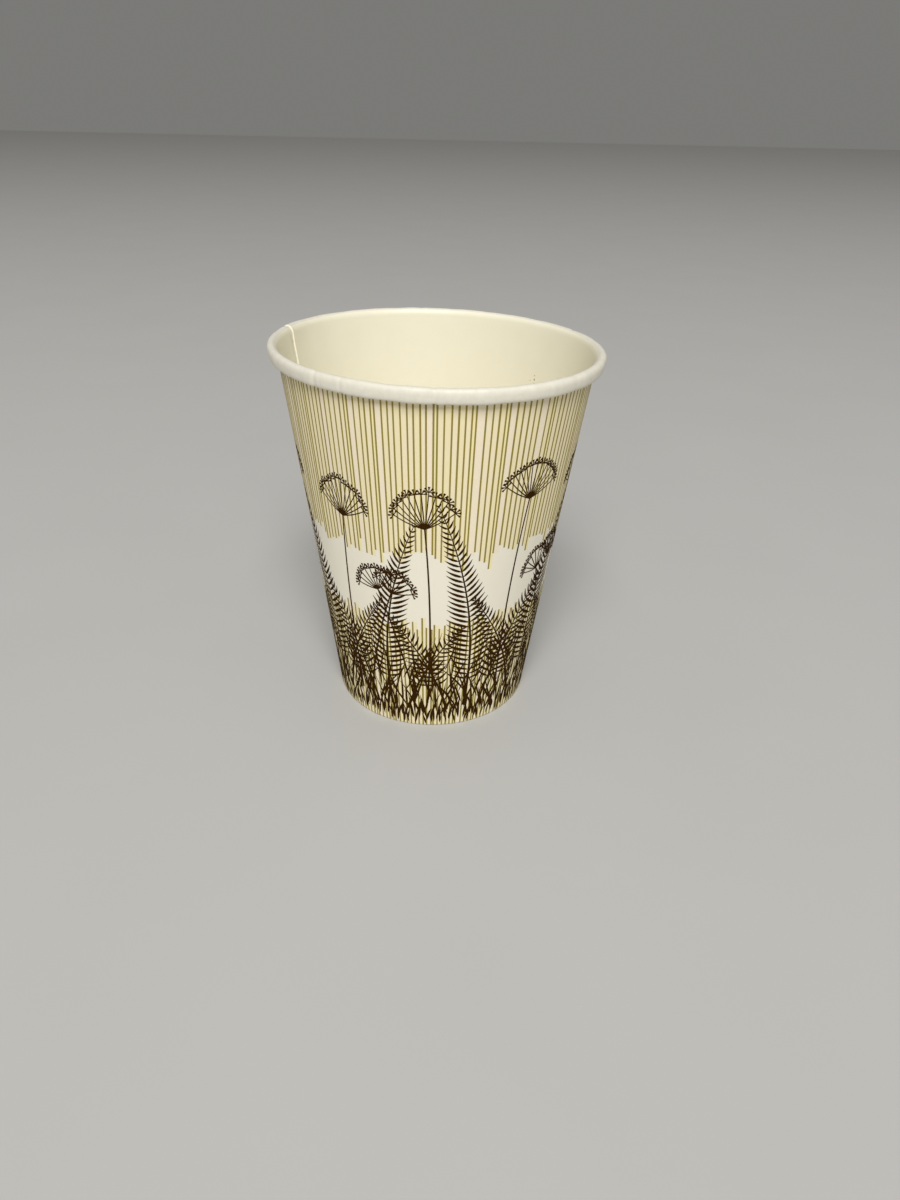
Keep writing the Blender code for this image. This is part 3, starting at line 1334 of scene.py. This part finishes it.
@dataclass(frozen=True)
class Studio:
    """The floor, the light and the camera."""

    camera_place: tuple[float, float, float] = (5.6 * MM, -237.7 * MM, 166.7 * MM)
    pitch: float = radians(30.42)
    roll: float = radians(1.26)
    focal_pixels: float = 858.7
    photo_height: float = 1200.0
    sensor: float = 36.0
    nearest: float = 0.01
    farthest: float = 50.0
    floor_size: float = 8.0
    sky_colour: tuple[float, float, float, float] = (1.0, 0.985, 0.96, 1.0)
    sky_level: float = 0.25
    backdrop_level: float = 0.35
    lamp_place: tuple[float, float, float] = (0.0, -1.97, 2.32)
    lamp_target: tuple[float, float, float] = (0.0, 0.0, 0.06)
    lamp_size: float = 1.4
    lamp_power: float = 82.0

    def add_camera(self) -> None:
        """Puts the camera where the photo was taken from."""
        data = bpy.data.cameras.new("camera")
        data.sensor_width = self.sensor
        data.lens = self.focal_pixels / self.photo_height * self.sensor
        data.clip_start = self.nearest
        data.clip_end = self.farthest
        camera = bpy.data.objects.new("camera", data)
        bpy.context.scene.collection.objects.link(camera)
        forward = Vector((0.0, math.cos(self.pitch), -math.sin(self.pitch)))
        level_right = Vector((1.0, 0.0, 0.0))
        level_up = Vector((0.0, math.sin(self.pitch), math.cos(self.pitch)))
        right = level_right * math.cos(self.roll) + level_up * math.sin(self.roll)
        up = level_up * math.cos(self.roll) - level_right * math.sin(self.roll)
        turned = Matrix((right, up, -forward)).transposed().to_4x4()
        camera.matrix_world = Matrix.Translation(Vector(self.camera_place)) @ turned
        bpy.context.scene.camera = camera

    def add_floor(self) -> None:
        """Lays the plain floor."""
        draft = MeshDraft()
        half = self.floor_size / 2
        draft.add_points(Vector((x * half, y * half, 0.0)) for x, y in ((-1, -1), (1, -1), (1, 1), (-1, 1)))
        draft.add_face((0, 1, 2, 3))
        floor = draft.finish("studio_floor", [STUDIO_PAPER])

    def add_lamp(self) -> None:
        """Hangs the square soft lamp in front, facing the cup."""
        data = bpy.data.lights.new("front_softbox", "AREA")
        data.shape = "SQUARE"
        data.size = self.lamp_size
        data.energy = self.lamp_power
        lamp = bpy.data.objects.new("front_softbox", data)
        lamp.location = self.lamp_place
        facing = Vector(self.lamp_target) - Vector(self.lamp_place)
        lamp.rotation_euler = facing.to_track_quat("-Z", "Y").to_euler()
        bpy.context.scene.collection.objects.link(lamp)

    def add_world(self) -> None:
        """Fills the room with even light, and shows it behind the floor in the floor's own tone."""
        world = bpy.data.worlds.new("studio_world")
        world.use_nodes = True
        tree = world.node_tree
        tree.nodes.clear()
        path = add_node(tree, "ShaderNodeLightPath")
        sky = {"Color": self.sky_colour, "Strength": self.sky_level}
        even = add_node(tree, "ShaderNodeBackground", None, sky)
        backdrop = {"Color": linear_colour(STUDIO_PAPER.colour), "Strength": self.backdrop_level}
        seen = add_node(tree, "ShaderNodeBackground", None, backdrop)
        mixed = {0: path.outputs["Is Camera Ray"], 1: even.outputs[0], 2: seen.outputs[0]}
        mix = add_node(tree, "ShaderNodeMixShader", None, mixed)
        add_node(tree, "ShaderNodeOutputWorld", None, {"Surface": mix.outputs[0]})
        bpy.context.scene.world = world

    def build(self) -> None:
        """Sets the whole studio up."""
        self.add_camera()
        self.add_floor()
        self.add_world()
        self.add_lamp()
        bpy.context.scene.view_settings.view_transform = "Standard"


def settle(pieces: Iterable[Object], slot: str, *nodes: str) -> None:
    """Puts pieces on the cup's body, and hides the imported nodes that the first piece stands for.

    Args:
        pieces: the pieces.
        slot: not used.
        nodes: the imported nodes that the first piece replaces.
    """
    for index, piece in enumerate(pieces):
        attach(piece, "root")
        if index == 0 and nodes:
            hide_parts(*nodes)
        log.info("%s: %d faces", piece.name, len(piece.data.polygons))


def main() -> None:
    """Builds the studio and the cup's pieces in order."""
    logging.basicConfig(level=logging.INFO, format="%(name)s %(message)s")
    Studio().build()
    surface = CupSurface(CupForm())
    settle([SideWall(surface).dress()], "printed_cup_board", "side_wall")
    settle([Bottom(surface).dress()], "coated_bottom_board", "bottom")
    settle([DriedSpecks(surface).dress()], "printed_cup_board")
    settle(Pinstripes(surface).dress(), "printed_cup_board")
    settle([LeafPrint(surface).dress()], "printed_cup_board")


if __name__ == "__main__":
    main()
